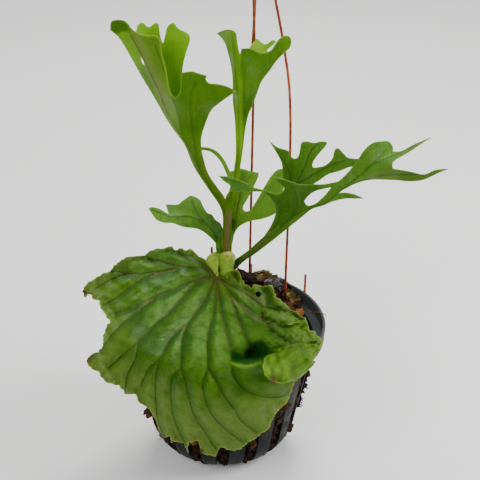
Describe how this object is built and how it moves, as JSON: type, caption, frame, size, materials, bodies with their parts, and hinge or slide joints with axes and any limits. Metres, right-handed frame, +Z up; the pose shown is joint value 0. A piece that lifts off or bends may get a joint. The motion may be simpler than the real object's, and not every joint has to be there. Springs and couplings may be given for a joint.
{
  "type": "staghorn fern",
  "caption": "Staghorn fern with antler-forked fronds and a broad pleated shield frond draped over a black slotted hanging pot on wire legs that end in a hook.",
  "frame": {"origin": "centre of the flat underside of the pot", "axes": "+Z up, +X to the right of the pictured view, -Y towards the viewer"},
  "size_m": [0.2481, 0.1707, 0.4591],
  "materials": {
    "pot_plastic": "satin black plastic with dust",
    "medium": "rough dry husk chips, bark and fibre",
    "wire": "thin rusted steel wire",
    "crown": "pale felted young leaf",
    "shield_leaf": "satin leathery leaf with deep veins",
    "bright_leaf": "satin leathery leaf with fine down",
    "cool_leaf": "satin leathery leaf with fine down"
  },
  "bodies": {
    "root": {"pot": "pot_plastic", "growing_medium": "medium", "hanger_leg_middle": "wire", "hanger_leg_right": "wire", "hanger_leg_left": "wire", "hanger_hook": "wire", "crown": "crown", "shield_frond": "shield_leaf", "tall_frond": "bright_leaf", "rear_frond": "bright_leaf", "right_frond": "cool_leaf", "left_frond": "bright_leaf"}
  },
  "joints": []
}
